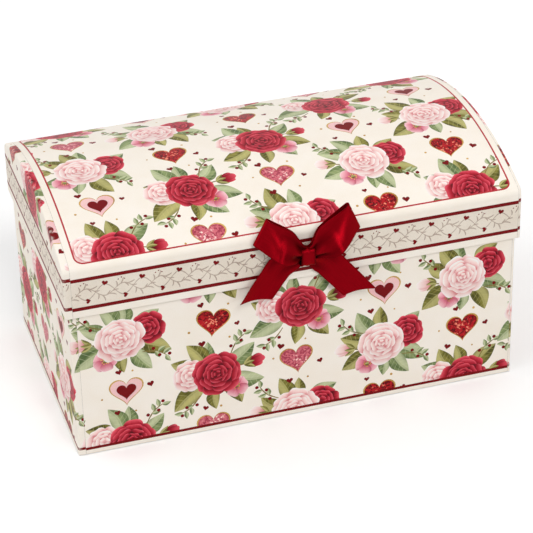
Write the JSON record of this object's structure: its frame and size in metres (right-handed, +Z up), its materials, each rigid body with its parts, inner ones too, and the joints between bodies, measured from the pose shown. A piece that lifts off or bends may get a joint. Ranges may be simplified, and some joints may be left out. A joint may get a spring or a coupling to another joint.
{
  "type": "gift box",
  "caption": "Chest-shaped rigid gift box of paper-wrapped greyboard with an arched lift-off lid and a satin ribbon bow.",
  "frame": {"origin": "centre of the underside, on the surface that the box stands on", "axes": "+X along the box to its right end seen from the bow, +Y from the bow's side to the back, +Z up"},
  "size_m": [0.254, 0.1542, 0.1342],
  "materials": {
    "greyboard": "uncoated grey chipboard",
    "printed_paper": "cream art paper, printed, matt laminate",
    "lining_paper": "plain uncoated ivory paper",
    "satin_ribbon": "crimson double-faced satin",
    "glue": "set hot-melt glue"
  },
  "bodies": {
    "base": {"base_floor_board": "greyboard", "base_front_board": "greyboard", "base_back_board": "greyboard", "base_left_board": "greyboard", "base_right_board": "greyboard", "base_front_paper": "printed_paper", "base_back_paper": "printed_paper", "base_left_paper": "printed_paper", "base_right_paper": "printed_paper", "base_bottom_paper": "lining_paper", "base_wall_lining": "lining_paper", "base_floor_lining": "lining_paper", "base_front_left_stay": "lining_paper", "base_front_right_stay": "lining_paper", "base_back_left_stay": "lining_paper", "base_back_right_stay": "lining_paper"},
    "lid": {"lid_front_board": "greyboard", "lid_back_board": "greyboard", "lid_left_board": "greyboard", "lid_right_board": "greyboard", "lid_dome_board": "greyboard", "lid_wrap_paper": "printed_paper", "lid_left_paper": "printed_paper", "lid_right_paper": "printed_paper", "lid_dome_lining": "lining_paper", "lid_left_lining": "lining_paper", "lid_right_lining": "lining_paper", "bow_knot": "satin_ribbon", "bow_left_loop": "satin_ribbon", "bow_right_loop": "satin_ribbon", "bow_left_tail": "satin_ribbon", "bow_right_tail": "satin_ribbon", "bow_glue_dot": "glue"}
  },
  "joints": [
    {"name": "lid_lift", "type": "slide", "parent": "base", "child": "lid", "axis": [0, 0, 1], "range_m": [0, 0.08]}
  ]
}
